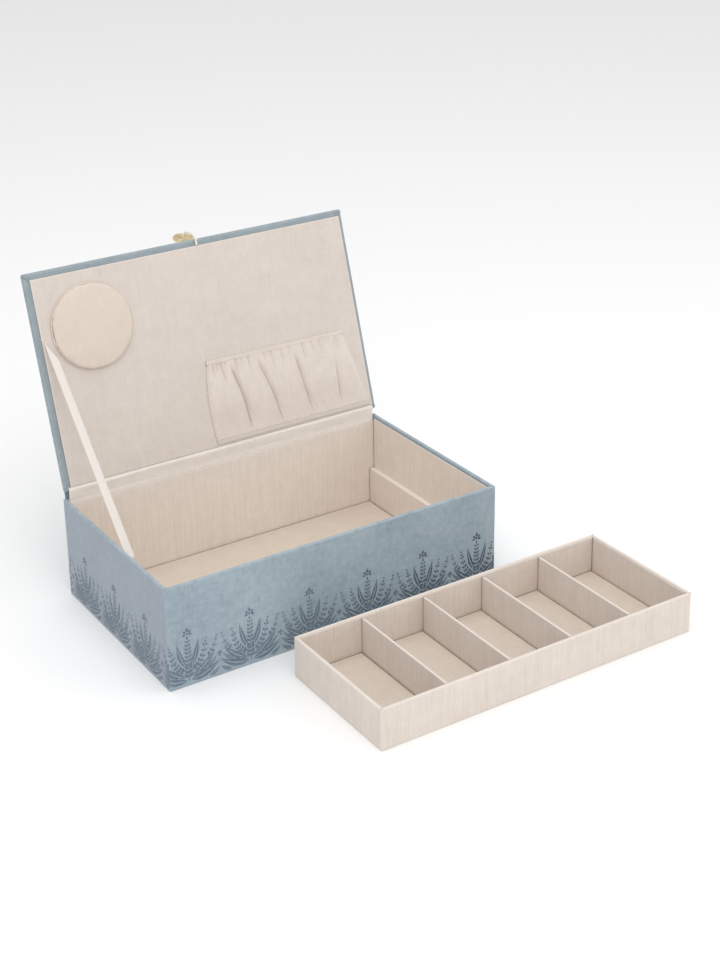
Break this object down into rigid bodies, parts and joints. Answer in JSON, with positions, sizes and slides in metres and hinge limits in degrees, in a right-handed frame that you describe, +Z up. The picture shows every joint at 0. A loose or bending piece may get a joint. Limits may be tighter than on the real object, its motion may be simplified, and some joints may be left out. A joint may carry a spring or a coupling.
{
  "type": "sewing box",
  "caption": "Cloth-covered sewing box with a hinged lid, lift-out divided tray, pincushion, gathered pocket and ribbon lid stay.",
  "frame": {"origin": "middle of the box's base, on the surface that it stands on", "axes": "+Z up, +X along the box to the right as seen from its front, front facing -Y"},
  "size_m": [0.4466, 0.4724, 0.3173],
  "materials": {
    "blue_cloth": "matt brushed cotton",
    "linen": "matt natural linen",
    "pad_linen": "matt linen over a soft filling",
    "chipboard": "raw board",
    "base_cloth": "matt cloth",
    "satin": "satin ribbon",
    "white_cord": "twisted cord",
    "elastic": "woven elastic",
    "brass": "polished"
  },
  "bodies": {
    "box": {"base_board": "chipboard", "front_wall_board": "chipboard", "back_wall_board": "chipboard", "left_wall_board": "chipboard", "right_wall_board": "chipboard", "outer_cloth": "blue_cloth", "base_cloth": "base_cloth", "floor_lining_card": "linen", "front_lining_card": "linen", "back_lining_card": "linen", "left_lining_card": "linen", "right_lining_card": "linen", "left_ledge_card": "linen", "right_ledge_card": "linen", "hinge_cloth": "linen", "spine_cloth": "blue_cloth", "lid_stay_ribbon": "satin"},
    "lid": {"lid_board": "chipboard", "lid_cover_cloth": "blue_cloth", "lid_lining_card": "linen", "pincushion_card": "chipboard", "pincushion_pad": "pad_linen", "pocket_cloth": "linen", "pocket_casing": "linen", "pocket_elastic": "elastic", "pocket_hem_tape": "linen", "pull_cord": "white_cord"},
    "pull": {"pull_disc": "brass", "pull_knot": "white_cord"},
    "tray": {"tray_base_board": "chipboard", "tray_front_wall_board": "chipboard", "tray_back_wall_board": "chipboard", "tray_left_wall_board": "chipboard", "tray_right_wall_board": "chipboard", "tray_outer_cloth": "linen", "tray_base_cloth": "linen", "tray_front_lining_card": "linen", "tray_back_lining_card": "linen", "tray_left_lining_card": "linen", "tray_right_lining_card": "linen", "tray_divider_1": "linen", "tray_divider_2": "linen", "tray_divider_3": "linen", "tray_divider_4": "linen", "tray_floor_card_1": "linen", "tray_floor_card_2": "linen", "tray_floor_card_3": "linen", "tray_floor_card_4": "linen", "tray_floor_card_5": "linen"}
  },
  "joints": [
    {"name": "lid_hinge", "type": "hinge", "parent": "box", "child": "lid", "pos_m": [0, 0.1057, 0.1088], "axis": [1, 0, 0], "range_deg": [0, 107.3], "deforming": ["hinge_cloth", "spine_cloth", "lid_stay_ribbon", "pull_cord"]},
    {"name": "pull_swing", "type": "hinge", "parent": "lid", "child": "pull", "pos_m": [0.002, 0.17087, 0.31264], "axis": [1, 0, 0], "range_deg": [0, 150], "stiffness_Nm_per_rad": 0.01, "deforming": ["pull_cord"]},
    {"name": "tray_lift", "type": "slide", "parent": "box", "child": "tray", "axis": [0, 0, 1], "range_m": [0, 0.2]}
  ]
}
